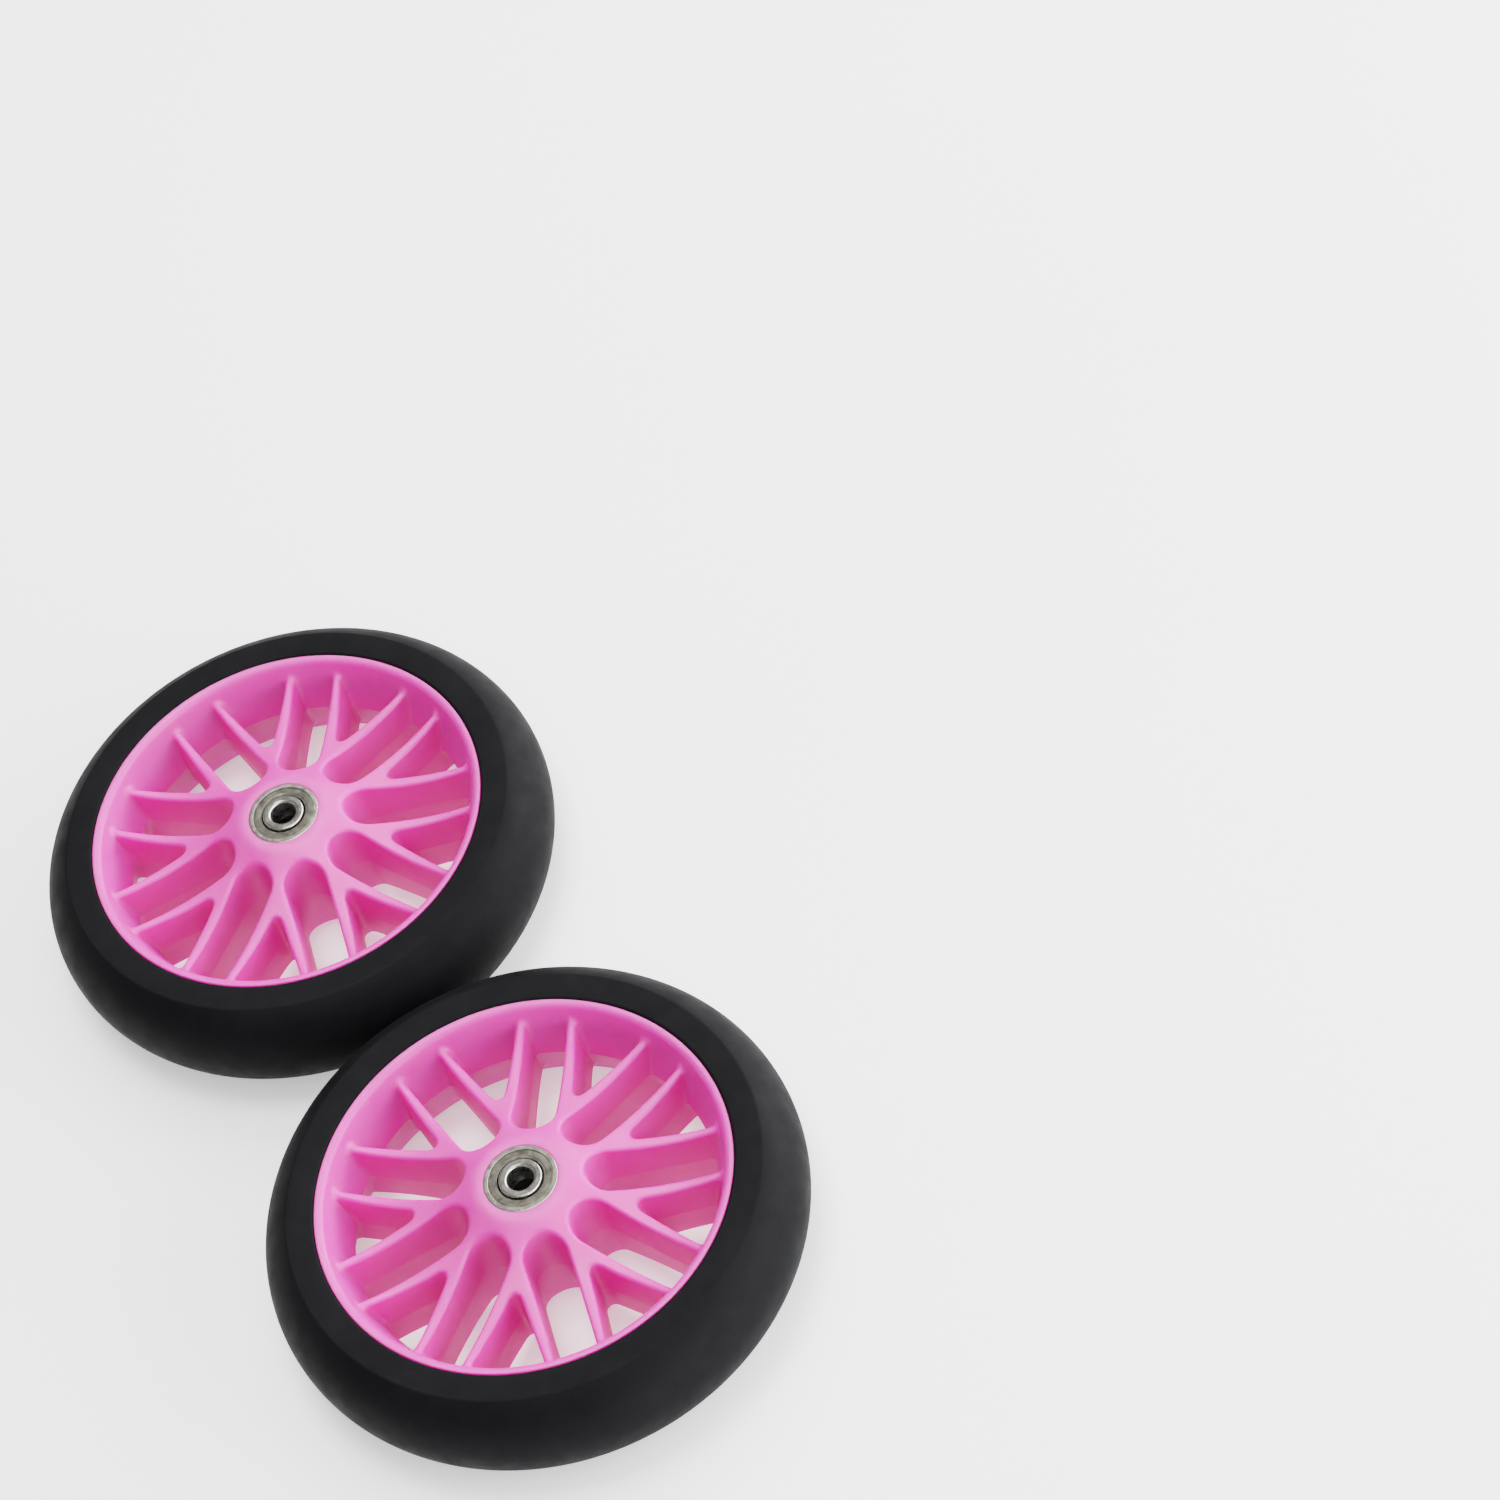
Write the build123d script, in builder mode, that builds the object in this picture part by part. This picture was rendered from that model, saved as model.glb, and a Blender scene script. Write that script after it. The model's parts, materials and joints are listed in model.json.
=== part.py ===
from build123d import *
from math import cos, radians, sin, tan
import os

# A pair of bicycle training wheels, lying flat side by side with their axles upright on the floor z = 0.
# Each wheel is a one-piece moulded rim with nine Y-shaped spokes, a solid rubber tyre and two shielded
# ball bearings with a spacer tube between their inner rings. Lengths are in millimetres.

# Rim barrel, and the channel round it that holds the tyre
rim_diameter = 123.0
rim_width = 34.0
lip_width = 2.2
lip_chamfer = 0.6
lip_height = 3.0
channel_width = 15.0
channel_depth = 4.2
barrel_wall = 3.4

# Tyre
tyre_height = 18.5
tyre_width = 34.4
tyre_side_width = 8.4
shoulder_round = 1.5

# Hub and spokes
hub_width = 37.8
hub_land_width = 2.9
spoke_count = 9
spoke_root = 0.6
spoke_half_depth_at_fork = 11.6
spoke_half_depth_at_rim = 12.4

# Long slots between neighbouring spokes, and the pocket inside the fork of each spoke
pocket_draft = 4.0
slot_centre_radius = 24.8
stem_width = 5.6
fork_centre_radius = 35.6
fork_corner_radius = 1.3
arm_taper = 3.0

# Ball bearings
bearing_bore = 8.0
bearing_diameter = 22.0
bearing_width = 7.0
inner_ring_diameter = 12.8
inner_ring_stand_out = 0.4
outer_ring_opening = 18.4
ring_chamfer = 0.4
shield_thickness = 0.35
shield_recess = 0.35
shield_seat = 0.35
shield_gap = 0.3

# Spacer tube, and how the pair lies
spacer_wall = 2.0
seat_shoulder = 1.4
wheel_gap = 0.5
wheel_turn = -3.5

# Sizes that follow from these
rim_radius = rim_diameter / 2
rim_half = rim_width / 2
lip_inside = rim_radius - lip_width
channel_radius = rim_radius - channel_depth
throat_radius = channel_radius - barrel_wall
tyre_half = tyre_width / 2
shoulder_radius = rim_radius + tyre_side_width
wheel_radius = rim_radius + tyre_height
hub_half = hub_width / 2
bearing_radius = bearing_diameter / 2
bearing_half = bearing_width / 2
bearing_middle = hub_half - bearing_half
bore_radius = bearing_bore / 2
inner_ring_radius = inner_ring_diameter / 2
opening_radius = outer_ring_opening / 2
shield_seat_radius = opening_radius + shield_seat
shield_seat_depth = shield_recess + shield_thickness
half_pitch = 180 / spoke_count
slot_half_width = slot_centre_radius * sin(radians(half_pitch)) - stem_width / 2


def pocket(centre_radius, end_radius, half_angle):
    """A drafted pocket from the mid-plane up, with a round inner end and two sides that run out past the barrel."""
    along = cos(radians(half_angle))
    across = sin(radians(half_angle))
    with BuildPart() as cutter:
        for level in (0, hub_width):
            end = end_radius + level * tan(radians(pocket_draft))
            near = (centre_radius - end * across, end * along)
            far = (near[0] + rim_radius * along, near[1] + rim_radius * across)
            with BuildSketch(Plane.XY.offset(level)):
                with BuildLine():
                    Line((far[0], -far[1]), (near[0], -near[1]))
                    ThreePointArc((near[0], -near[1]), (centre_radius - end, 0), near)
                    Line(near, far)
                    Line(far, (far[0], -far[1]))
                make_face()
        loft(ruled=True)
    return cutter.part


long_slot = pocket(slot_centre_radius, slot_half_width, 0)
fork_pocket = pocket(fork_centre_radius, fork_corner_radius, half_pitch + arm_taper)

# Moulded rim: half of the dished spoke disc is turned and pocketed, then mirrored about the parting plane.
# The barrel is turned round it, which closes the outer ends of the pockets, and the hub is bored for bearings.
barrel_flare = (lip_inside - throat_radius) / rim_half
spoke_foot = throat_radius + spoke_root
spoke_tip = spoke_foot + barrel_flare * spoke_half_depth_at_rim
hub_land_radius = bearing_radius + hub_land_width
with BuildPart() as rim:
    with BuildSketch(Plane.XZ):
        with BuildLine():
            Line((0, 0), (spoke_foot, 0))
            Line((spoke_foot, 0), (spoke_tip, spoke_half_depth_at_rim))
            ThreePointArc(
                (spoke_tip, spoke_half_depth_at_rim),
                (fork_centre_radius, spoke_half_depth_at_fork),
                (hub_land_radius, hub_half),
            )
            Line((hub_land_radius, hub_half), (0, hub_half))
            Line((0, hub_half), (0, 0))
        make_face()
    revolve(axis=Axis.Z)
    with PolarLocations(0, spoke_count):
        add(fork_pocket, mode=Mode.SUBTRACT)
    with PolarLocations(0, spoke_count, start_angle=half_pitch):
        add(long_slot, mode=Mode.SUBTRACT)
    mirror(about=Plane.XY)
    with BuildSketch(Plane.XZ) as barrel:
        with BuildLine():
            Polyline(
                (throat_radius, 0),
                (lip_inside, rim_half),
                (rim_radius, rim_half),
                (rim_radius, rim_half - lip_height),
                (channel_radius, channel_width / 2),
                (channel_radius, 0),
            )
            mirror(about=Plane.XZ)
        make_face()
        levels = barrel.vertices().group_by(Axis.Y)
        chamfer(levels[0] + levels[-1], lip_chamfer)
    revolve(axis=Axis.Z)
    Cylinder(bearing_radius - seat_shoulder, hub_width, mode=Mode.SUBTRACT)
    with Locations((0, 0, bearing_middle), (0, 0, -bearing_middle)):
        Cylinder(bearing_radius, bearing_width, mode=Mode.SUBTRACT)

# Solid rubber tyre: flat sides, a rounded tread and a foot that fills the channel of the barrel
with BuildPart() as tyre:
    with BuildSketch(Plane.XZ) as tyre_section:
        with BuildLine():
            Polyline(
                (channel_radius, 0),
                (channel_radius, channel_width / 2),
                (rim_radius, rim_half - lip_height),
                (rim_radius, tyre_half),
                (shoulder_radius, tyre_half),
            )
            mirror(about=Plane.XZ)
            ThreePointArc((shoulder_radius, tyre_half), (wheel_radius, 0), (shoulder_radius, -tyre_half))
        make_face()
        fillet(tyre_section.vertices().group_by(Axis.X)[-1], shoulder_round)
    revolve(axis=Axis.Z)

# Bearing, with its middle at the origin and its outboard side up: the outer ring pressed into the hub
with BuildPart() as outer_ring:
    with BuildSketch(Plane.XZ):
        with Locations(((opening_radius + bearing_radius) / 2, 0)):
            Rectangle(bearing_radius - opening_radius, bearing_width)
    revolve(axis=Axis.Z)
    with Locations((0, 0, bearing_half), (0, 0, -bearing_half)):
        Cylinder(shield_seat_radius, 2 * shield_seat_depth, mode=Mode.SUBTRACT)
    mouths = outer_ring.edges().filter_by(GeomType.CIRCLE).group_by(Axis.Z)
    chamfer(mouths[0].sort_by(SortBy.RADIUS)[-1], ring_chamfer)
    chamfer(mouths[-1].sort_by(SortBy.RADIUS)[-1], ring_chamfer)

# Inner ring, which stands a little proud outboard so that only it is clamped by the axle bolt
with BuildPart() as inner_ring:
    with BuildSketch(Plane.XZ):
        with Locations(((bore_radius + inner_ring_radius) / 2, inner_ring_stand_out / 2)):
            Rectangle(inner_ring_radius - bore_radius, bearing_width + inner_ring_stand_out)
    revolve(axis=Axis.Z)
    chamfer(inner_ring.edges().filter_by(GeomType.CIRCLE).group_by(Axis.Z)[-1], ring_chamfer)

# Shield: a thin steel washer seated in the outer ring and clear of the inner one
with BuildPart() as shield:
    with BuildSketch(Plane.XY.offset(-shield_thickness / 2)):
        Circle(shield_seat_radius)
        Circle(inner_ring_radius + shield_gap, mode=Mode.SUBTRACT)
    extrude(amount=shield_thickness)

# Spacer tube that keeps the two inner rings apart when the axle bolt is tightened
with BuildPart() as spacer:
    with BuildSketch(Plane.XY.offset(bearing_width - hub_half)):
        Circle(bore_radius + spacer_wall)
        Circle(bore_radius, mode=Mode.SUBTRACT)
    extrude(amount=hub_width - 2 * bearing_width)

# The wheel is put together on its own axle: each piece with its node name and its place
shield_middle = bearing_half - shield_recess - shield_thickness / 2
pieces = [
    ("tyre", tyre.part, Location()),
    ("rim", rim.part, Location()),
    ("spacer", spacer.part, Location()),
]
for side, seat in (
    ("upper", Location((0, 0, bearing_middle))),
    ("lower", Location((0, 0, -bearing_middle), (180, 0, 0))),
):
    pieces += [
        (side + "_outer_ring", outer_ring.part, seat),
        (side + "_inner_ring", inner_ring.part, seat),
        (side + "_outboard_shield", shield.part, seat * Location((0, 0, shield_middle))),
        (side + "_inboard_shield", shield.part, seat * Location((0, 0, -shield_middle))),
    ]

# The two wheels lie side by side, standing on the upstanding inner rings of their lower bearings
mid_height = hub_half + inner_ring_stand_out
spread = wheel_radius + wheel_gap / 2
os.makedirs("parts", exist_ok=True)
for wheel, place in (("left", spread), ("right", -spread)):
    stand = Location((0, place, mid_height), (0, 0, wheel_turn))
    for piece, solid, seat in pieces:
        placed = solid.moved(stand * seat)
        placed.label = wheel + "_" + piece
        export_step(placed, "parts/" + placed.label + ".step")
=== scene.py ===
import json
from math import cos, pi, radians, sin, tan

import bmesh
import bpy
import numpy as np
from mathutils import Matrix, Vector


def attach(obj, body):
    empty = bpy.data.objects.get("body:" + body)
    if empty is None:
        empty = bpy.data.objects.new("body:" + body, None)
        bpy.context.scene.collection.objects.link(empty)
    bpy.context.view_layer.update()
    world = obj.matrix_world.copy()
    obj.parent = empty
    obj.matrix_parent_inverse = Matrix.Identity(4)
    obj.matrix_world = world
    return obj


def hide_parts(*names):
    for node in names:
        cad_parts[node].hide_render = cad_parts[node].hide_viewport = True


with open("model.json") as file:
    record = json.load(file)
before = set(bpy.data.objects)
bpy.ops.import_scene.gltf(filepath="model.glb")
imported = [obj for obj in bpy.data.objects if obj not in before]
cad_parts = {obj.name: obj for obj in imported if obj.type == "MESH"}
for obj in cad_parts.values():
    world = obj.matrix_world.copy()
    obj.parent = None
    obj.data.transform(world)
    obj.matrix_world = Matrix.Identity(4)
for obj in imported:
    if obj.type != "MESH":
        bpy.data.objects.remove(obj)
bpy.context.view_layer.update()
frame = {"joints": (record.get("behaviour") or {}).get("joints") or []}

# Rim: one moulding of pink plastic for each wheel, with barrel, nine forked spokes and hub, from a mould in
# two halves. Every wall leans by the mould's draft and every edge is rounded, so each half is a height above
# the parting plane. Half a spoke's upper side is worked out as a grid, then turned and mirrored all round.
MM = 0.001
SPOKES = 9
HALF_PITCH = pi / SPOKES
DRAFT = tan(radians(4.0))
HUB_HALF = 18.9
HUB_LAND = 13.9
HUB_FLAT = 12.2
BEARING_RADIUS = 11.0
BEARING_WIDTH = 7.0
SEAT_SHOULDER = 9.6
STEM_HALF = 2.8
SLOT_CENTRE = 24.8
SLOT_HALF = SLOT_CENTRE * sin(HALF_PITCH) - STEM_HALF
FORK_CENTRE = 35.6
FORK_CORNER = 1.3
FORK_ANGLE = HALF_PITCH + radians(3.0)
RIM_RADIUS = 61.5
RIM_HALF = 17.0
LIP_INSIDE = 59.3
LIP_FOOT = 14.0
THROAT = 53.9
FLARE = (LIP_INSIDE - THROAT) / RIM_HALF
CHANNEL_RADIUS = 57.3
CHANNEL_HALF = 7.5
SPOKE_ROOT = 0.6
SPOKE_HALF_AT_RIM = 12.4
SPOKE_HALF_AT_FORK = 11.6

# Roundings of the rim's edges and corners, and the ring below the lip where the spokes' grids end.
# All sizes of the pieces are in millimetres, with heights counted from the middle of the wheel or ring.
EDGE_ROUND = 1.1
ROOT_ROUND = 1.5
HUB_ROUND = 0.7
LIP_INNER_ROUND = 2.0
LIP_OUTER_ROUND = 0.35
CHANNEL_ROUND = 0.4
SEAT_MOUTH_ROUND = 0.3
SEAT_CORNER_ROUND = 0.1
SEAT_SHOULDER_ROUND = 0.2
RING_LEVEL = 15.0
RING_RADIUS = THROAT + FLARE * RING_LEVEL


def circle_through(points):
    """Centre and radius of the circle through three points.

    The centre is as far from the first point as from the two others, which gives two linear equations."""
    sums = (points[1:] ** 2).sum(1) - (points[0] ** 2).sum()
    centre = np.linalg.solve(2 * (points[1:] - points[0]), sums)
    return centre, np.hypot(*(points[0] - centre))


def rounded_corner(a, b, radius):
    """Distance to what two solids share, both negative inside, with the outer corner between them rounded.

    It is the larger of the two, and within the rounding the distance from its middle less the radius."""
    beyond = np.hypot(np.maximum(radius + a, 0), np.maximum(radius + b, 0))
    return np.minimum(-radius, np.maximum(a, b)) + beyond


def rounded_root(a, b, radius):
    """Distance to two solids together, both negative inside, with the inner corner between them filled.

    It is the smaller of the two, and within the fillet the radius less the distance from its middle."""
    within = np.hypot(np.maximum(radius - a, 0), np.maximum(radius - b, 0))
    return np.maximum(radius, np.minimum(a, b)) - within


dish_centre, dish_radius = circle_through(np.array([
    (THROAT + SPOKE_ROOT + FLARE * SPOKE_HALF_AT_RIM, SPOKE_HALF_AT_RIM),
    (FORK_CENTRE, SPOKE_HALF_AT_FORK),
    (HUB_LAND, HUB_HALF),
]))


def moulding(x, y, z):
    """Distance to the rim's plastic, negative inside it, with x along a spoke and y towards the next slot.

    The spoke's top is an arc turned about the axle and cut off flat at the hub. The slot is a distance from
    a ray midway to the next spoke, the fork pocket one from a wedge along this spoke, and both widen with
    height by the draft. The barrel is a cone, and joins the spokes with a hollow fillet."""
    r = np.hypot(x, y)
    dish = dish_radius - np.hypot(r - dish_centre[0], z - dish_centre[1])
    top = rounded_corner(dish, z - HUB_HALF, HUB_ROUND)
    along = x * cos(HALF_PITCH) + y * sin(HALF_PITCH) - SLOT_CENTRE
    across = y * cos(HALF_PITCH) - x * sin(HALF_PITCH)
    slot = SLOT_HALF + z * DRAFT - np.hypot(np.minimum(along, 0), across)
    out = x - FORK_CENTRE
    beside = np.where(
        out * cos(FORK_ANGLE) + y * sin(FORK_ANGLE) < 0,
        np.hypot(out, y),
        y * cos(FORK_ANGLE) - out * sin(FORK_ANGLE),
    )
    fork = FORK_CORNER + z * DRAFT - beside
    web = rounded_corner(rounded_corner(top, slot, EDGE_ROUND), fork, EDGE_ROUND)
    barrel = (THROAT + FLARE * z - r) / np.hypot(1, FLARE)
    return rounded_root(web, barrel, ROOT_ROUND)


HALVINGS = 40


def halved(holds, low, high):
    """Where a test that holds at low stops holding on the way to high, by halving the span many times."""
    for _ in range(HALVINGS):
        middle = (low + high) / 2
        test = holds(middle)
        low = np.where(test, middle, low)
        high = np.where(test, high, middle)
    return high


def moulding_height(x, y):
    """Height of the plastic above the parting plane, where the distance to it passes zero."""
    return halved(lambda z: moulding(x, y, z) < 0, np.zeros_like(x), np.full_like(x, HUB_HALF + 1))


BEND_WEIGHT = 0.5


def even_steps(run, rise, at, count):
    """Values of at, count for each line, that share out the line's length and its bending evenly.

    Each line's share grows by its length over the whole length, plus the weight times the angle it turns."""
    length = np.hypot(np.diff(run), np.diff(rise))
    bend = np.abs(np.diff(np.arctan2(np.diff(rise), np.diff(run)), axis=1))
    bend = np.pad(bend, ((0, 0), (1, 0)))
    share = np.cumsum(length / length.sum(1, keepdims=True) + BEND_WEIGHT * bend, axis=1)
    share = np.pad(share, ((0, 0), (1, 0)))
    return np.stack([np.interp(np.linspace(0, s[-1], count), s, a) for s, a in zip(share, at)])


WALL_ROWS = 22
TRIAL_ROWS = 261
CROWDING = 2.5


def wall_grid(start, end):
    """Grid of surface points on straight lines in plan from points in a pocket to points on the crest.

    Each line begins where it meets the parting edge of the pocket. Its rows crowd where the section bends:
    they are shared out on a finer trial of the line, whose points lie closer together near the edge."""
    line = end - start

    def on_line(t):
        """Points at the shares t of the lines' lengths, as x and y."""
        return start[:, 0, None] + t * line[:, 0, None], start[:, 1, None] + t * line[:, 1, None]

    begun, ended = np.zeros((len(line), 1)), np.ones((len(line), 1))
    edge = halved(lambda t: moulding(*on_line(t), 0.0) > 0, begun, ended)
    trial = edge + (1 - edge) * np.linspace(0, 1, TRIAL_ROWS) ** CROWDING
    run = trial * np.hypot(line[:, 0], line[:, 1])[:, None]
    x, y = on_line(even_steps(run, moulding_height(*on_line(trial)), trial, WALL_ROWS))
    z = moulding_height(x, y)
    z[:, 0] = 0
    return np.stack([x, y, z], axis=-1)


CREST_START = np.array([30.5, 0.0])
CREST_PULL = np.array([31.2, 2.2])
CREST_JOINT = np.array([40.0, 5.9])
JOINT_PULL = 5
BOW_POINTS = 60
RUN_POINTS = 400


def arm_crest(count):
    """Line in plan along the crest of a fork's arm, from the spoke's middle line to the barrel.

    It is a cubic curve on four points as far as the joint, and from there a straight run along the mean of
    the slot's and the fork pocket's directions."""
    angle = (HALF_PITCH + FORK_ANGLE) / 2
    way = np.array([cos(angle), sin(angle)])
    joint = CREST_JOINT
    t = np.linspace(0, 1, BOW_POINTS)[:, None]
    bow = (1 - t) ** 3 * CREST_START + 3 * t * (1 - t) ** 2 * CREST_PULL
    bow = bow + 3 * t**2 * (1 - t) * (joint - JOINT_PULL * way) + t**3 * joint
    reach = np.sqrt(RING_RADIUS**2 - joint @ joint + (joint @ way) ** 2) - joint @ way
    run = joint + np.linspace(0, 1, RUN_POINTS)[1:, None] * reach * way
    crest = np.vstack([bow, run])
    far = np.pad(np.cumsum(np.hypot(*np.diff(crest, axis=0).T)), (1, 0))
    at = even_steps(far[None], moulding_height(*crest.T)[None], far[None], count)[0]
    return np.stack([np.interp(at, far, crest[:, 0]), np.interp(at, far, crest[:, 1])], axis=-1)


def polar(radius, angle):
    """Points at a radius and angles, as x and y."""
    return np.stack([radius * np.cos(angle), radius * np.sin(angle)], axis=-1)


def on_middle_ray(points, centre, way, reach):
    """For each point, the nearest one on a pocket's middle ray, which ends after its reach."""
    far = np.clip((points - centre) @ way, 0, reach)
    return centre + far[:, None] * way


HUB_STEPS = 8
STEM_POINTS = 13
CREST_POINTS = 24
RING_STEPS_TO_SLOT = 7
RING_STEPS_TO_FORK = 11
SLOT_REACH = 24.0
FORK_REACH = 14.0


def spoke_walls():
    """The two wall grids of half a spoke, and the angles of their ends on the ring and on the hub.

    One grid rises from the slot's edge to the hub's flat, the spoke's middle line, the arm's crest and the
    ring, the other from the fork pocket's edge to the crest and the ring."""
    crest = arm_crest(CREST_POINTS)
    arm = np.arctan2(crest[-1, 1], crest[-1, 0])
    on_hub = np.linspace(HALF_PITCH, 0, HUB_STEPS + 1)
    stem = np.linspace(HUB_FLAT, crest[0, 0], STEM_POINTS)[1:-1]
    to_slot = np.linspace(arm, HALF_PITCH, RING_STEPS_TO_SLOT + 1)
    to_fork = np.linspace(arm, 0, RING_STEPS_TO_FORK + 1)
    slot_way = np.array([cos(HALF_PITCH), sin(HALF_PITCH)])
    slot_end = np.vstack([
        polar(HUB_FLAT, on_hub),
        np.stack([stem, 0 * stem], axis=-1),
        crest,
        polar(RING_RADIUS, to_slot)[1:],
    ])
    slot_start = on_middle_ray(slot_end, SLOT_CENTRE * slot_way, slot_way, SLOT_REACH)
    fork_way = np.array([cos(FORK_ANGLE), sin(FORK_ANGLE)])
    fork_end = np.vstack([crest, polar(RING_RADIUS, to_fork)[1:]])
    fork_start = on_middle_ray(crest, np.array([FORK_CENTRE, 0.0]), fork_way, FORK_REACH)
    last = fork_start[-1]
    fan = np.arctan2(last[1], last[0]) * to_fork[1:] / arm
    fork_start = np.vstack([fork_start, polar(np.hypot(*last), fan)])
    grids = wall_grid(slot_start, slot_end), wall_grid(fork_start, fork_end)
    return grids, np.concatenate([to_fork[::-1], to_slot[1:]]), on_hub[::-1]


def rounded_profile(corners, steps=6):
    """Section line through corners given as radius, height and rounding.

    At each rounded corner comes an arc: its middle lies on the line that halves the corner, and its radius is
    turned evenly from one side's touching point to the other's."""
    corners = np.array(corners, float)
    points = [corners[:1, :2]]
    for before, (x, z, rounding), after in zip(corners[:-2, :2], corners[1:-1], corners[2:, :2]):
        here = np.array([x, z])
        a, b = before - here, after - here
        a, b = a / np.hypot(*a), b / np.hypot(*b)
        half = np.arccos(np.clip(a @ b, -1, 1)) / 2
        if rounding == 0:
            points.append(here[None])
            continue
        middle = here + (a + b) / np.hypot(*(a + b)) * rounding / np.sin(half)
        start = here + a * rounding / np.tan(half) - middle
        stop = here + b * rounding / np.tan(half) - middle
        sweep = np.linspace(0, 1, steps + 1)[:, None]
        turn = pi - 2 * half
        arc = (np.sin((1 - sweep) * turn) * start + np.sin(sweep * turn) * stop) / np.sin(turn)
        points.append(middle + arc)
    points.append(corners[-1:, :2])
    return np.vstack(points)


def turned(profile, angles):
    """A section line turned about the axle: radius and height at each of the angles, column by column."""
    r, z = profile[:, 0], profile[:, 1]
    x, y = np.cos(angles)[:, None] * r, np.sin(angles)[:, None] * r
    return np.stack([x, y, np.broadcast_to(z, x.shape)], axis=-1)


def grid_quads(columns, rows, first=0, around=False):
    """Corner numbers of the quads of a grid stored column by column, closed round its columns if asked."""
    starts = np.arange(columns if around else columns - 1)
    a = (starts * rows)[:, None] + np.arange(rows - 1)
    b = (((starts + 1) % columns) * rows)[:, None] + np.arange(rows - 1)
    return first + np.stack([a, b, b + 1, a + 1], axis=-1).reshape(-1, 4)


MERGE_REACH = 0.002
SLIVER = 0.0005
CREASE = radians(32)


def closed_mesh(name, points, quads):
    """A mesh of points in millimetres.

    Doubles are merged, faces turned outwards and edges over the crease angle kept sharp."""
    mesh = bpy.data.meshes.new(name)
    mesh.from_pydata((points * MM).tolist(), [], quads.tolist())
    skin = bmesh.new()
    skin.from_mesh(mesh)
    bmesh.ops.remove_doubles(skin, verts=skin.verts, dist=MERGE_REACH * MM)
    bmesh.ops.dissolve_degenerate(skin, edges=skin.edges, dist=SLIVER * MM)
    bmesh.ops.recalc_face_normals(skin, faces=skin.faces)
    skin.to_mesh(mesh)
    skin.free()
    mesh.shade_smooth()
    mesh.set_sharp_from_angle(angle=CREASE)
    return mesh


ON_PLANE = 1e-4
PAST_THROAT = 0.5


def keep_parting_edge(mesh):
    """Marks the pockets' edges at the parting plane as sharp: there one half's draft meets the other's."""
    places = np.empty(3 * len(mesh.vertices))
    mesh.vertices.foreach_get("co", places)
    places = places.reshape(-1, 3) / MM
    radius = np.hypot(places[:, 0], places[:, 1])
    on_edge = (np.abs(places[:, 2]) < ON_PLANE) & (radius > HUB_FLAT) & (radius < THROAT + PAST_THROAT)
    ends = np.empty(2 * len(mesh.edges), dtype=int)
    mesh.edges.foreach_get("vertices", ends)
    sharp = np.empty(len(mesh.edges), dtype=bool)
    mesh.edges.foreach_get("use_edge_sharp", sharp)
    mesh.edges.foreach_set("use_edge_sharp", sharp | on_edge[ends.reshape(-1, 2)].all(axis=1))


def rim_mesh():
    """The whole rim: half a spoke's wall grids copied all round, the turned lips and channel, and the hub.

    Copies are mirrored across their spoke and the parting plane and turned to their places. The turned
    parts have the same angles as the grids' ends, so that their points merge."""
    grids, on_ring, on_hub = spoke_walls()
    turns = np.arange(SPOKES) * 2 * HALF_PITCH
    points, quads, count = [], [], 0
    for grid in grids:
        for side in (1, -1):
            for over in (1, -1):
                for turn in turns:
                    x, y, z = grid[..., 0], side * grid[..., 1], over * grid[..., 2]
                    copy = [x * cos(turn) - y * sin(turn), x * sin(turn) + y * cos(turn), z]
                    points.append(np.stack(copy, axis=-1).reshape(-1, 3))
                    quads.append(grid_quads(len(grid), WALL_ROWS, count))
                    count += len(points[-1])
    lip = rounded_profile([
        (RING_RADIUS, RING_LEVEL, 0),
        (LIP_INSIDE, RIM_HALF, LIP_INNER_ROUND),
        (RIM_RADIUS, RIM_HALF, LIP_OUTER_ROUND),
        (RIM_RADIUS, LIP_FOOT, CHANNEL_ROUND),
        (CHANNEL_RADIUS, CHANNEL_HALF, CHANNEL_ROUND),
        (CHANNEL_RADIUS, 0, 0),
    ])
    seat_floor = HUB_HALF - BEARING_WIDTH
    seat = rounded_profile([
        (HUB_FLAT, HUB_HALF, 0),
        (BEARING_RADIUS, HUB_HALF, SEAT_MOUTH_ROUND),
        (BEARING_RADIUS, seat_floor, SEAT_CORNER_ROUND),
        (SEAT_SHOULDER, seat_floor, SEAT_SHOULDER_ROUND),
        (SEAT_SHOULDER, 0, 0),
    ])
    for half, steps in ((lip, on_ring), (seat, on_hub)):
        profile = np.vstack([half, half[-2::-1] * (1, -1)])
        one_spoke = np.concatenate([-steps[:0:-1], steps[:-1]])
        angles = (turns[:, None] + one_spoke).ravel()
        points.append(turned(profile, angles).reshape(-1, 3))
        quads.append(grid_quads(len(angles), len(profile), count, around=True))
        count += len(points[-1])
    mesh = closed_mesh("rim", np.vstack(points), np.vstack(quads))
    keep_parting_edge(mesh)
    return mesh


def add_node(tree, kind, inputs=None, **settings):
    """A shader node with its settings, and its inputs given as numbers, colours or other nodes' outputs."""
    made = tree.nodes.new(kind)
    for key, value in settings.items():
        setattr(made, key, value)
    for key, value in (inputs or {}).items():
        if isinstance(value, bpy.types.NodeSocket):
            tree.links.new(value, made.inputs[key])
        else:
            made.inputs[key].default_value = value
    return made


def new_finish(name, **constants):
    """A material, its node tree, its shader with the constants set on it, and the piece's coordinates."""
    material = bpy.data.materials.new(name)
    material.use_nodes = True
    tree = material.node_tree
    shader = tree.nodes["Principled BSDF"]
    for key, value in constants.items():
        shader.inputs[key.replace("_", " ")].default_value = value
    return material, tree, shader, add_node(tree, "ShaderNodeTexCoord").outputs["Object"]


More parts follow.
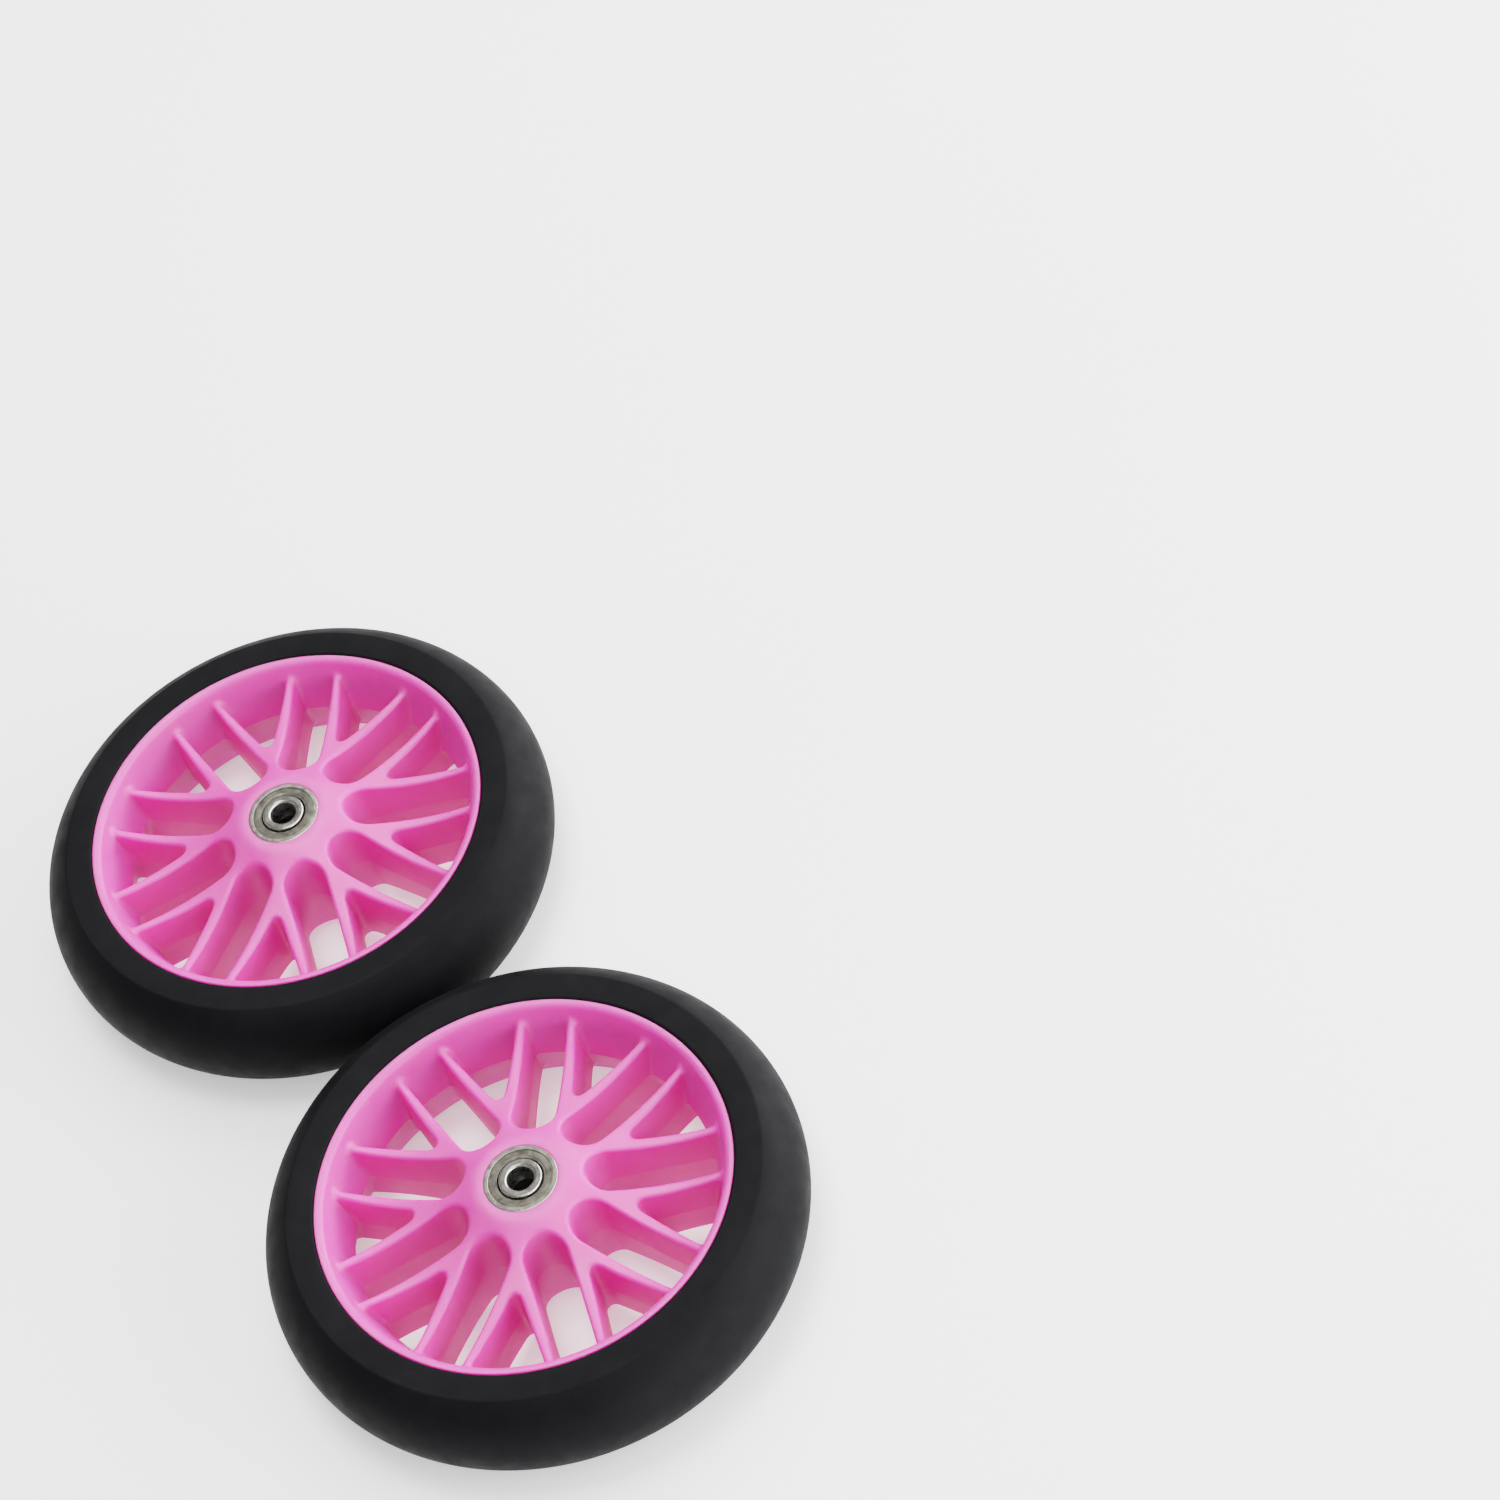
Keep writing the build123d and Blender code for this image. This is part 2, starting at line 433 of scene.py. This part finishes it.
def speckle(tree, coords, scale, detail=2.0, roughness=0.5):
    """Noise from 0 to 1, its scale in spots per metre."""
    inputs = {"Vector": coords, "Scale": scale, "Detail": detail, "Roughness": roughness}
    return add_node(tree, "ShaderNodeTexNoise", inputs).outputs["Fac"]


def between(tree, value, low, high, start=0.3, stop=0.7):
    """A value stretched from the range start to stop onto the range low to high."""
    inputs = {"Value": value, "From Min": start, "From Max": stop, "To Min": low, "To Max": high}
    return add_node(tree, "ShaderNodeMapRange", inputs).outputs["Result"]


def blended(tree, share, one, other):
    """One colour turning into another by a share from 0 to 1.

    Of the mix node's sockets, 6 and 7 take the colours and 2 gives the blend."""
    return add_node(tree, "ShaderNodeMix", {"Factor": share, 6: one, 7: other}, data_type="RGBA").outputs[2]


def roughened(tree, shader, height, depth, strength):
    """A bump of the given depth in metres on the shader's normal."""
    bump = add_node(tree, "ShaderNodeBump", {"Height": height, "Distance": depth, "Strength": strength})
    tree.links.new(bump.outputs["Normal"], shader.inputs["Normal"])


DEEP_PINK = (0.71, 0.044, 0.285, 1)
PALE_PINK = (0.76, 0.053, 0.310, 1)


def pink_plastic():
    """Pink polypropylene: faint clouds of colour from the mould's flow, a satin gloss and a fine grain."""
    material, tree, shader, coords = new_finish(
        "pink_moulded_plastic",
        IOR=1.49,
        Specular_IOR_Level=0.9,
        Subsurface_Weight=0.7,
        Subsurface_Scale=0.007,
        Subsurface_Radius=(1.0, 0.08, 1.0),
    )
    clouds = between(tree, speckle(tree, coords, scale=26.0, detail=3.0, roughness=0.55), low=0.0, high=1.0)
    tree.links.new(blended(tree, clouds, DEEP_PINK, PALE_PINK), shader.inputs["Base Color"])
    satin = between(tree, speckle(tree, coords, scale=90.0, detail=4.0), low=0.50, high=0.60)
    tree.links.new(satin, shader.inputs["Roughness"])
    roughened(tree, shader, speckle(tree, coords, scale=2400.0, detail=3.0), depth=0.00002, strength=0.25)
    return material


# The two wheels lie flat with their axles upright, where the model's hinges are, turned by the same angle.
WHEEL_TURN = radians(-3.5)
axles = {joint["child"].split("_")[0]: Vector(joint["pos_m"]) for joint in frame["joints"]}


def place(mesh, piece, wheel, body, material, height=0.0, over=False):
    """One wheel's copy of a mesh, turned over if asked and set at its height on that wheel's axle.

    It stands for its CAD node, which it hides, and rides on its body."""
    made = mesh.copy()
    if over:
        made.transform(Matrix.Rotation(pi, 4, "X"))
    made.transform(Matrix.Translation((0, 0, height * MM)))
    made.transform(Matrix.Translation(axles[wheel]) @ Matrix.Rotation(WHEEL_TURN, 4, "Z"))
    made.materials.clear()
    made.materials.append(material)
    node = wheel + "_" + piece
    obj = bpy.data.objects.new(node + "_visual", made)
    bpy.context.scene.collection.objects.link(obj)
    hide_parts(node)
    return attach(obj, body)


rim = rim_mesh()
plastic = pink_plastic()
for wheel in axles:
    place(rim, "rim", wheel, wheel + "_wheel", plastic)

# Tyre: a solid ring of black rubber, stretched over the rim's lips so that its foot fills the channel. Flat
# sides with a rounded inner edge stand a little proud of the lips, and a soft shoulder leads to the smooth
# round tread.
TYRE_RADIUS = 80.0
TYRE_HALF = 17.2
TYRE_SHOULDER = 69.9
SHOULDER_ROUND = 1.5
BEAD_ROUND = 1.1
FOOT_ROUND = 0.3
SHOULDER_POINTS = 9
TREAD_POINTS = 25
TYRE_STEPS = 300


def lathe(name, section, steps):
    """A closed section turned about the axle in equal steps, as a closed ring."""
    grid = turned(np.vstack([section, section[:1]]), np.arange(steps) * 2 * pi / steps)
    return closed_mesh(name, grid.reshape(-1, 3), grid_quads(steps, len(section) + 1, around=True))


def tyre_mesh():
    """The tyre's section turned about the axle: foot and side as a rounded line, then two arcs that touch.

    The tread's circle goes through the crown and both shoulders. The shoulder's smaller circle touches it
    from within, and touches the flat side."""
    through = [(TYRE_SHOULDER, TYRE_HALF), (TYRE_RADIUS, 0.0), (TYRE_SHOULDER, -TYRE_HALF)]
    tread, reach = circle_through(np.array(through))
    bend_height = TYRE_HALF - SHOULDER_ROUND
    bend_radius = tread[0] + np.sqrt((reach - SHOULDER_ROUND) ** 2 - bend_height**2)
    touch = np.arctan2(bend_height, bend_radius - tread[0])
    side = rounded_profile([
        (CHANNEL_RADIUS, 0, 0),
        (CHANNEL_RADIUS, CHANNEL_HALF, FOOT_ROUND),
        (RIM_RADIUS, LIP_FOOT, FOOT_ROUND),
        (RIM_RADIUS, TYRE_HALF, BEAD_ROUND),
        (bend_radius, TYRE_HALF, 0),
    ])
    shoulder = polar(SHOULDER_ROUND, np.linspace(pi / 2, touch, SHOULDER_POINTS))[1:]
    crown = polar(reach, np.linspace(touch, 0, TREAD_POINTS))[1:]
    half = np.vstack([side, shoulder + (bend_radius, bend_height), crown + (tread[0], 0)])
    section = np.vstack([half, half[-2:0:-1] * (1, -1)])
    return lathe("tyre", section, TYRE_STEPS)


RUBBER_BLACK = (0.0011, 0.0012, 0.0016, 1)
RUBBER_BLOOM = (0.0024, 0.0025, 0.0032, 1)


def black_rubber():
    """Moulded rubber: near black, with a faint grey bloom in patches, a fine grain and a soft sheen."""
    material, tree, shader, coords = new_finish("black_tyre_rubber", IOR=1.5, Specular_IOR_Level=0.055)
    bloom = between(tree, speckle(tree, coords, scale=40.0, detail=5.0, roughness=0.6), low=0.0, high=1.0)
    tree.links.new(blended(tree, bloom, RUBBER_BLACK, RUBBER_BLOOM), shader.inputs["Base Color"])
    sheen = between(tree, speckle(tree, coords, scale=160.0, detail=4.0), low=0.55, high=0.68)
    tree.links.new(sheen, shader.inputs["Roughness"])
    grain = speckle(tree, coords, scale=1500.0, detail=4.0, roughness=0.6)
    roughened(tree, shader, grain, depth=0.00008, strength=0.35)
    return material


tyre = tyre_mesh()
rubber = black_rubber()
for wheel in axles:
    place(tyre, "tyre", wheel, wheel + "_wheel", rubber)

# Ball bearings: one pressed into each end of the hub. Outer and inner ring are ground steel, a little
# tarnished, and the inner one stands proud outboard so that only it is clamped. Each is a turned section.
BEARINGS = (("upper", 1), ("lower", -1))
BEARING_HALF = BEARING_WIDTH / 2
BEARING_MIDDLE = HUB_HALF - BEARING_WIDTH / 2
BORE_RADIUS = 4.0
INNER_RADIUS = 6.4
STAND_OUT = 0.4
OPENING_RADIUS = 9.2
SHIELD_SEAT = 9.55
SHIELD_SEAT_LEVEL = 2.8
RING_ROUND = 0.4
MOUTH_ROUND = 0.12
OPENING_ROUND = 0.08
INNER_EDGE_ROUND = 0.55
BORE_EDGE_ROUND = 0.9
INBOARD_ROUND = 0.15
RING_STEPS = 144


def steel_ring(name, corners, around, steps=6):
    """A rounded section turned about the axle, with an attribute on its points named level.

    Level is 1 where the ring faces straight up or down and 0 where it faces sideways: it is the height of
    the point's normal, without its sign."""
    mesh = lathe(name, rounded_profile(corners, steps)[:-1], around)
    normals = np.empty(3 * len(mesh.vertices))
    mesh.vertices.foreach_get("normal", normals)
    # The level also masks the steel's worn edges, which get a painted highlight.
    mesh.attributes.new("level", "FLOAT", "POINT").data.foreach_set("value", np.abs(normals[2::3]))
    return mesh


outer_ring = steel_ring("outer_ring", [
    (OPENING_RADIUS, 0, 0),
    (OPENING_RADIUS, SHIELD_SEAT_LEVEL, OPENING_ROUND),
    (SHIELD_SEAT, SHIELD_SEAT_LEVEL, 0),
    (SHIELD_SEAT, BEARING_HALF, MOUTH_ROUND),
    (BEARING_RADIUS, BEARING_HALF, RING_ROUND),
    (BEARING_RADIUS, -BEARING_HALF, RING_ROUND),
    (SHIELD_SEAT, -BEARING_HALF, MOUTH_ROUND),
    (SHIELD_SEAT, -SHIELD_SEAT_LEVEL, 0),
    (OPENING_RADIUS, -SHIELD_SEAT_LEVEL, OPENING_ROUND),
    (OPENING_RADIUS, 0, 0),
], RING_STEPS)
inner_ring = steel_ring("inner_ring", [
    (BORE_RADIUS, 0, 0),
    (BORE_RADIUS, BEARING_HALF + STAND_OUT, BORE_EDGE_ROUND),
    (INNER_RADIUS, BEARING_HALF + STAND_OUT, INNER_EDGE_ROUND),
    (INNER_RADIUS, -BEARING_HALF, INBOARD_ROUND),
    (BORE_RADIUS, -BEARING_HALF, INBOARD_ROUND),
    (BORE_RADIUS, 0, 0),
], RING_STEPS)


def from_axle(tree, coords):
    """Distance from the nearer axle, and height, in metres from the piece's own coordinates.

    The two axles mirror each other, so the way aside is taken without its sign."""
    parts = add_node(tree, "ShaderNodeSeparateXYZ", {"Vector": coords}).outputs
    aside = add_node(tree, "ShaderNodeMath", {0: parts["Y"]}, operation="ABSOLUTE").outputs[0]
    aside = add_node(tree, "ShaderNodeMath", {0: aside, 1: axles["left"].y}, operation="SUBTRACT").outputs[0]
    flat = add_node(tree, "ShaderNodeCombineXYZ", {"X": parts["X"], "Y": aside}).outputs[0]
    distance = add_node(tree, "ShaderNodeVectorMath", {0: flat}, operation="LENGTH").outputs["Value"]
    return distance, parts["Z"]


def worn_steel_with_edge_highlight(name, bright, dull, polished_highlight, smooth, rough):
    """Steel with fine turning marks, patches of brownish tarnish and edges worn bright, with a painted
    highlight on them.

    The marks are noise of the distance from the axle and the height. The edges are where the attribute level
    falls below 1, and there the colour turns to the bright edge colour, a painted highlight in place of
    glints."""
    material, tree, shader, coords = new_finish(name, Metallic=1.0)
    distance, height = from_axle(tree, coords)
    section = add_node(tree, "ShaderNodeCombineXYZ", {"X": distance, "Y": height}).outputs[0]
    marks = speckle(tree, section, scale=9000.0)
    patches = speckle(tree, coords, scale=420.0, detail=5.0, roughness=0.65)
    tarnish = between(tree, patches, low=0.0, high=1.0, start=0.35, stop=0.65)
    tone = blended(tree, tarnish, bright, dull)
    level = add_node(tree, "ShaderNodeAttribute", attribute_name="level").outputs["Fac"]
    # Painted highlight: where the ring's faces turn sideways, the base colour goes to a bright tone on top of
    # edge wear.
    rubbed_edge_highlight = between(tree, level, low=1.0, high=0.0, start=0.80, stop=0.97)
    tree.links.new(blended(tree, rubbed_edge_highlight, tone, polished_highlight), shader.inputs["Base Color"])
    wear = add_node(tree, "ShaderNodeMath", {0: patches, 1: marks}, operation="MULTIPLY").outputs[0]
    tree.links.new(between(tree, wear, smooth, rough, start=0.1, stop=0.45), shader.inputs["Roughness"])
    roughened(tree, shader, marks, depth=0.00002, strength=0.35)
    return material


# Painted highlights: the bright edge colours of the rings stand in for glints on their chamfers.
outer_steel = worn_steel_with_edge_highlight(
    "ground_outer_ring_steel",
    bright=(0.125, 0.118, 0.102, 1),
    dull=(0.050, 0.046, 0.036, 1),
    polished_highlight=(0.58, 0.565, 0.53, 1),
    smooth=0.22,
    rough=0.44,
)
inner_steel = worn_steel_with_edge_highlight(
    "ground_inner_ring_steel",
    bright=(0.080, 0.077, 0.068, 1),
    dull=(0.036, 0.034, 0.028, 1),
    polished_highlight=(0.58, 0.57, 0.55, 1),
    smooth=0.20,
    rough=0.40,
)
for wheel in axles:
    for bearing, way_up in BEARINGS:
        outer, inner = bearing + "_outer_ring", bearing + "_inner_ring"
        seat = way_up * BEARING_MIDDLE
        over = way_up < 0
        place(outer_ring, outer, wheel, wheel + "_wheel", outer_steel, seat, over)
        place(inner_ring, inner, wheel, "axle_sleeves", inner_steel, seat, over)

# Shields: thin pressed steel washers in both mouths of each bearing, held in the outer ring and clear of the
# inner one. Their inner edge is set down a little, which shows as a fine step beside the dark gap.
SHIELD_LEVEL = 2.975
SHIELD_HALF = 0.175
SHIELD_STEP = 0.1
SHIELD_BORE = 6.95
STEP_INNER = 7.5
STEP_OUTER = 7.75
SHIELD_START = 8.4
SHIELD_EDGE_ROUND = 0.06
STEP_ROUND = 0.05
shield = steel_ring("shield", [
    (SHIELD_START, SHIELD_HALF, 0),
    (SHIELD_SEAT, SHIELD_HALF, SHIELD_EDGE_ROUND),
    (SHIELD_SEAT, SHIELD_STEP - SHIELD_HALF, SHIELD_EDGE_ROUND),
    (STEP_OUTER, SHIELD_STEP - SHIELD_HALF, STEP_ROUND),
    (STEP_INNER, -SHIELD_HALF, STEP_ROUND),
    (SHIELD_BORE, -SHIELD_HALF, SHIELD_EDGE_ROUND),
    (SHIELD_BORE, SHIELD_HALF - SHIELD_STEP, SHIELD_EDGE_ROUND),
    (STEP_INNER, SHIELD_HALF - SHIELD_STEP, STEP_ROUND),
    (STEP_OUTER, SHIELD_HALF, STEP_ROUND),
    (SHIELD_START, SHIELD_HALF, 0),
], RING_STEPS, steps=4)
# Painted highlight: the bright edge colour lights up the shield's edges and step.
shield_steel = worn_steel_with_edge_highlight(
    "pressed_shield_steel",
    bright=(0.080, 0.075, 0.062, 1),
    dull=(0.030, 0.027, 0.021, 1),
    polished_highlight=(0.20, 0.19, 0.17, 1),
    smooth=0.32,
    rough=0.52,
)
for wheel in axles:
    for bearing, way_up in BEARINGS:
        for mouth, way_out in (("outboard", way_up), ("inboard", -way_up)):
            piece = bearing + "_" + mouth + "_shield"
            seat = way_up * BEARING_MIDDLE + way_out * SHIELD_LEVEL
            place(shield, piece, wheel, wheel + "_wheel", shield_steel, seat, way_out < 0)

# Spacer: a cut length of drawn steel tube between the two inner rings, dark with grease inside the hub.
# It keeps the rings apart when the axle bolt is tightened.
SPACER_RADIUS = 6.0
SPACER_HALF = HUB_HALF - BEARING_WIDTH
SPACER_ROUND = 0.2
SPACER_STEPS = 96
spacer = steel_ring("spacer", [
    (BORE_RADIUS, 0, 0),
    (BORE_RADIUS, SPACER_HALF, SPACER_ROUND),
    (SPACER_RADIUS, SPACER_HALF, SPACER_ROUND),
    (SPACER_RADIUS, -SPACER_HALF, SPACER_ROUND),
    (BORE_RADIUS, -SPACER_HALF, SPACER_ROUND),
    (BORE_RADIUS, 0, 0),
], SPACER_STEPS)
spacer_steel = worn_steel_with_edge_highlight(
    "drawn_spacer_steel",
    bright=(0.070, 0.070, 0.070, 1),
    dull=(0.035, 0.032, 0.030, 1),
    polished_highlight=(0.05, 0.05, 0.05, 1),
    smooth=0.35,
    rough=0.6,
)
for wheel in axles:
    place(spacer, "spacer", wheel, "axle_sleeves", spacer_steel)

# Floor: a plain pale board under the pair, painted a soft white with the faintest unevenness of tone. It
# glows a little, as a white sheet does under studio lamps, and more beyond them, so that it stays pale.
FLOOR_REACH = 20
FLOOR_CORNERS = [(-1, -1), (1, -1), (1, 1), (-1, 1)]
FLOOR_DULL = (0.75, 0.75, 0.75, 1)
FLOOR_PALE = (0.78, 0.78, 0.78, 1)


def floor_paint():
    """Soft white paint in two tones, whose glow rises with the distance in metres from under the pair."""
    material, tree, shader, coords = new_finish("pale_floor", Roughness=0.7, Emission_Color=(1, 1, 1, 1))
    tone = between(tree, speckle(tree, coords, scale=3.0, detail=3.0), low=0.0, high=1.0)
    tree.links.new(blended(tree, tone, FLOOR_DULL, FLOOR_PALE), shader.inputs["Base Color"])
    far_off = add_node(tree, "ShaderNodeVectorMath", {0: coords}, operation="LENGTH").outputs["Value"]
    glow = between(tree, far_off, low=0.50, high=2.40, start=1.1, stop=2.2)
    tree.links.new(glow, shader.inputs["Emission Strength"])
    return material


floor_mesh = bpy.data.meshes.new("floor")
floor_mesh.from_pydata([(FLOOR_REACH * x, FLOOR_REACH * y, 0) for x, y in FLOOR_CORNERS], [], [(0, 1, 2, 3)])
floor_mesh.materials.append(floor_paint())
floor = bpy.data.objects.new("floor", floor_mesh)
bpy.context.scene.collection.objects.link(floor)

# Camera: above the near side of the pair and rolled, so that one wheel stands up to the left and the other
# down to the right. The aim is moved off the pair's middle, by shares of the distance, for the framing.
ELEVATION = radians(51.7)
AZIMUTH = radians(13.5)
ROLL = radians(20.0)
DISTANCE = 1.35
AIM_HEIGHT = 0.036
AIM_TO_RIGHT = 0.0765
AIM_UP = 0.0530
back = Vector((-cos(ELEVATION) * sin(AZIMUTH), -cos(ELEVATION) * cos(AZIMUTH), sin(ELEVATION)))
unrolled_right = Vector((cos(AZIMUTH), -sin(AZIMUTH), 0))
unrolled_up = back.cross(unrolled_right)
right = cos(ROLL) * unrolled_right - sin(ROLL) * unrolled_up
up = back.cross(right)
aim = Vector((0, 0, AIM_HEIGHT)) + AIM_TO_RIGHT * DISTANCE * right + AIM_UP * DISTANCE * up
lens = bpy.data.cameras.new("camera")
lens.sensor_width = 36.0
lens.lens = 110.0
camera = bpy.data.objects.new("camera", lens)
facing_aim = Matrix((right, up, back)).transposed().to_4x4()
camera.matrix_world = Matrix.Translation(aim + DISTANCE * back) @ facing_aim
bpy.context.scene.collection.objects.link(camera)
bpy.context.scene.camera = camera


# Light: wide soft boxes above the camera, over the pair, low in front of it, on its right and behind it, in
# a dim room that is brighter on its far side. The tones roll off softly towards white, as on film.
def lamp_way(azimuth, elevation):
    """The way from the pair to a lamp, at an azimuth counted from the camera's own, towards its right."""
    a = AZIMUTH - radians(azimuth)
    e = radians(elevation)
    return Vector((-cos(e) * sin(a), -cos(e) * cos(a), sin(e)))


def soft_box(name, azimuth, elevation, distance, size, power):
    """An area light that faces the pair from its distance."""
    way = lamp_way(azimuth, elevation)
    lamp = bpy.data.lights.new(name, "AREA")
    lamp.shape = "RECTANGLE"
    lamp.size = size[0]
    lamp.size_y = size[1]
    lamp.energy = power
    box = bpy.data.objects.new(name, lamp)
    box.matrix_world = Matrix.Translation(distance * way) @ way.to_track_quat("Z", "Y").to_matrix().to_4x4()
    bpy.context.scene.collection.objects.link(box)


def room_light():
    """A white room that is brighter towards its window, by the dot product of the two ways."""
    room = bpy.data.worlds.new("room")
    room.use_nodes = True
    tree = room.node_tree
    walls = tree.nodes["Background"]
    walls.inputs["Color"].default_value = (1, 1, 1, 1)
    look_way = add_node(tree, "ShaderNodeTexCoord").outputs["Object"]
    ways = {0: look_way, 1: lamp_way(azimuth=150, elevation=45)}
    facing = add_node(tree, "ShaderNodeVectorMath", ways, operation="DOT_PRODUCT").outputs["Value"]
    brightness = between(tree, facing, low=0.08, high=0.75, start=-0.3, stop=0.9)
    tree.links.new(brightness, walls.inputs["Strength"])
    return room


soft_box("front_box", azimuth=5, elevation=58, distance=1.7, size=(1.2, 1.2), power=13)
soft_box("top_box", azimuth=180, elevation=86, distance=1.7, size=(0.7, 0.7), power=24)
soft_box("back_box", azimuth=165, elevation=52, distance=1.5, size=(1.1, 0.8), power=18)
soft_box("right_box", azimuth=63, elevation=24, distance=1.3, size=(1.2, 0.7), power=20)
soft_box("low_box", azimuth=30, elevation=4.5, distance=1.4, size=(1.2, 0.2), power=22)
soft_box("side_box", azimuth=114, elevation=13, distance=1.4, size=(1.3, 0.45), power=30)
bpy.context.scene.world = room_light()
film = bpy.context.scene.view_settings
film.view_transform = "Filmic"
film.look = "Medium Contrast"
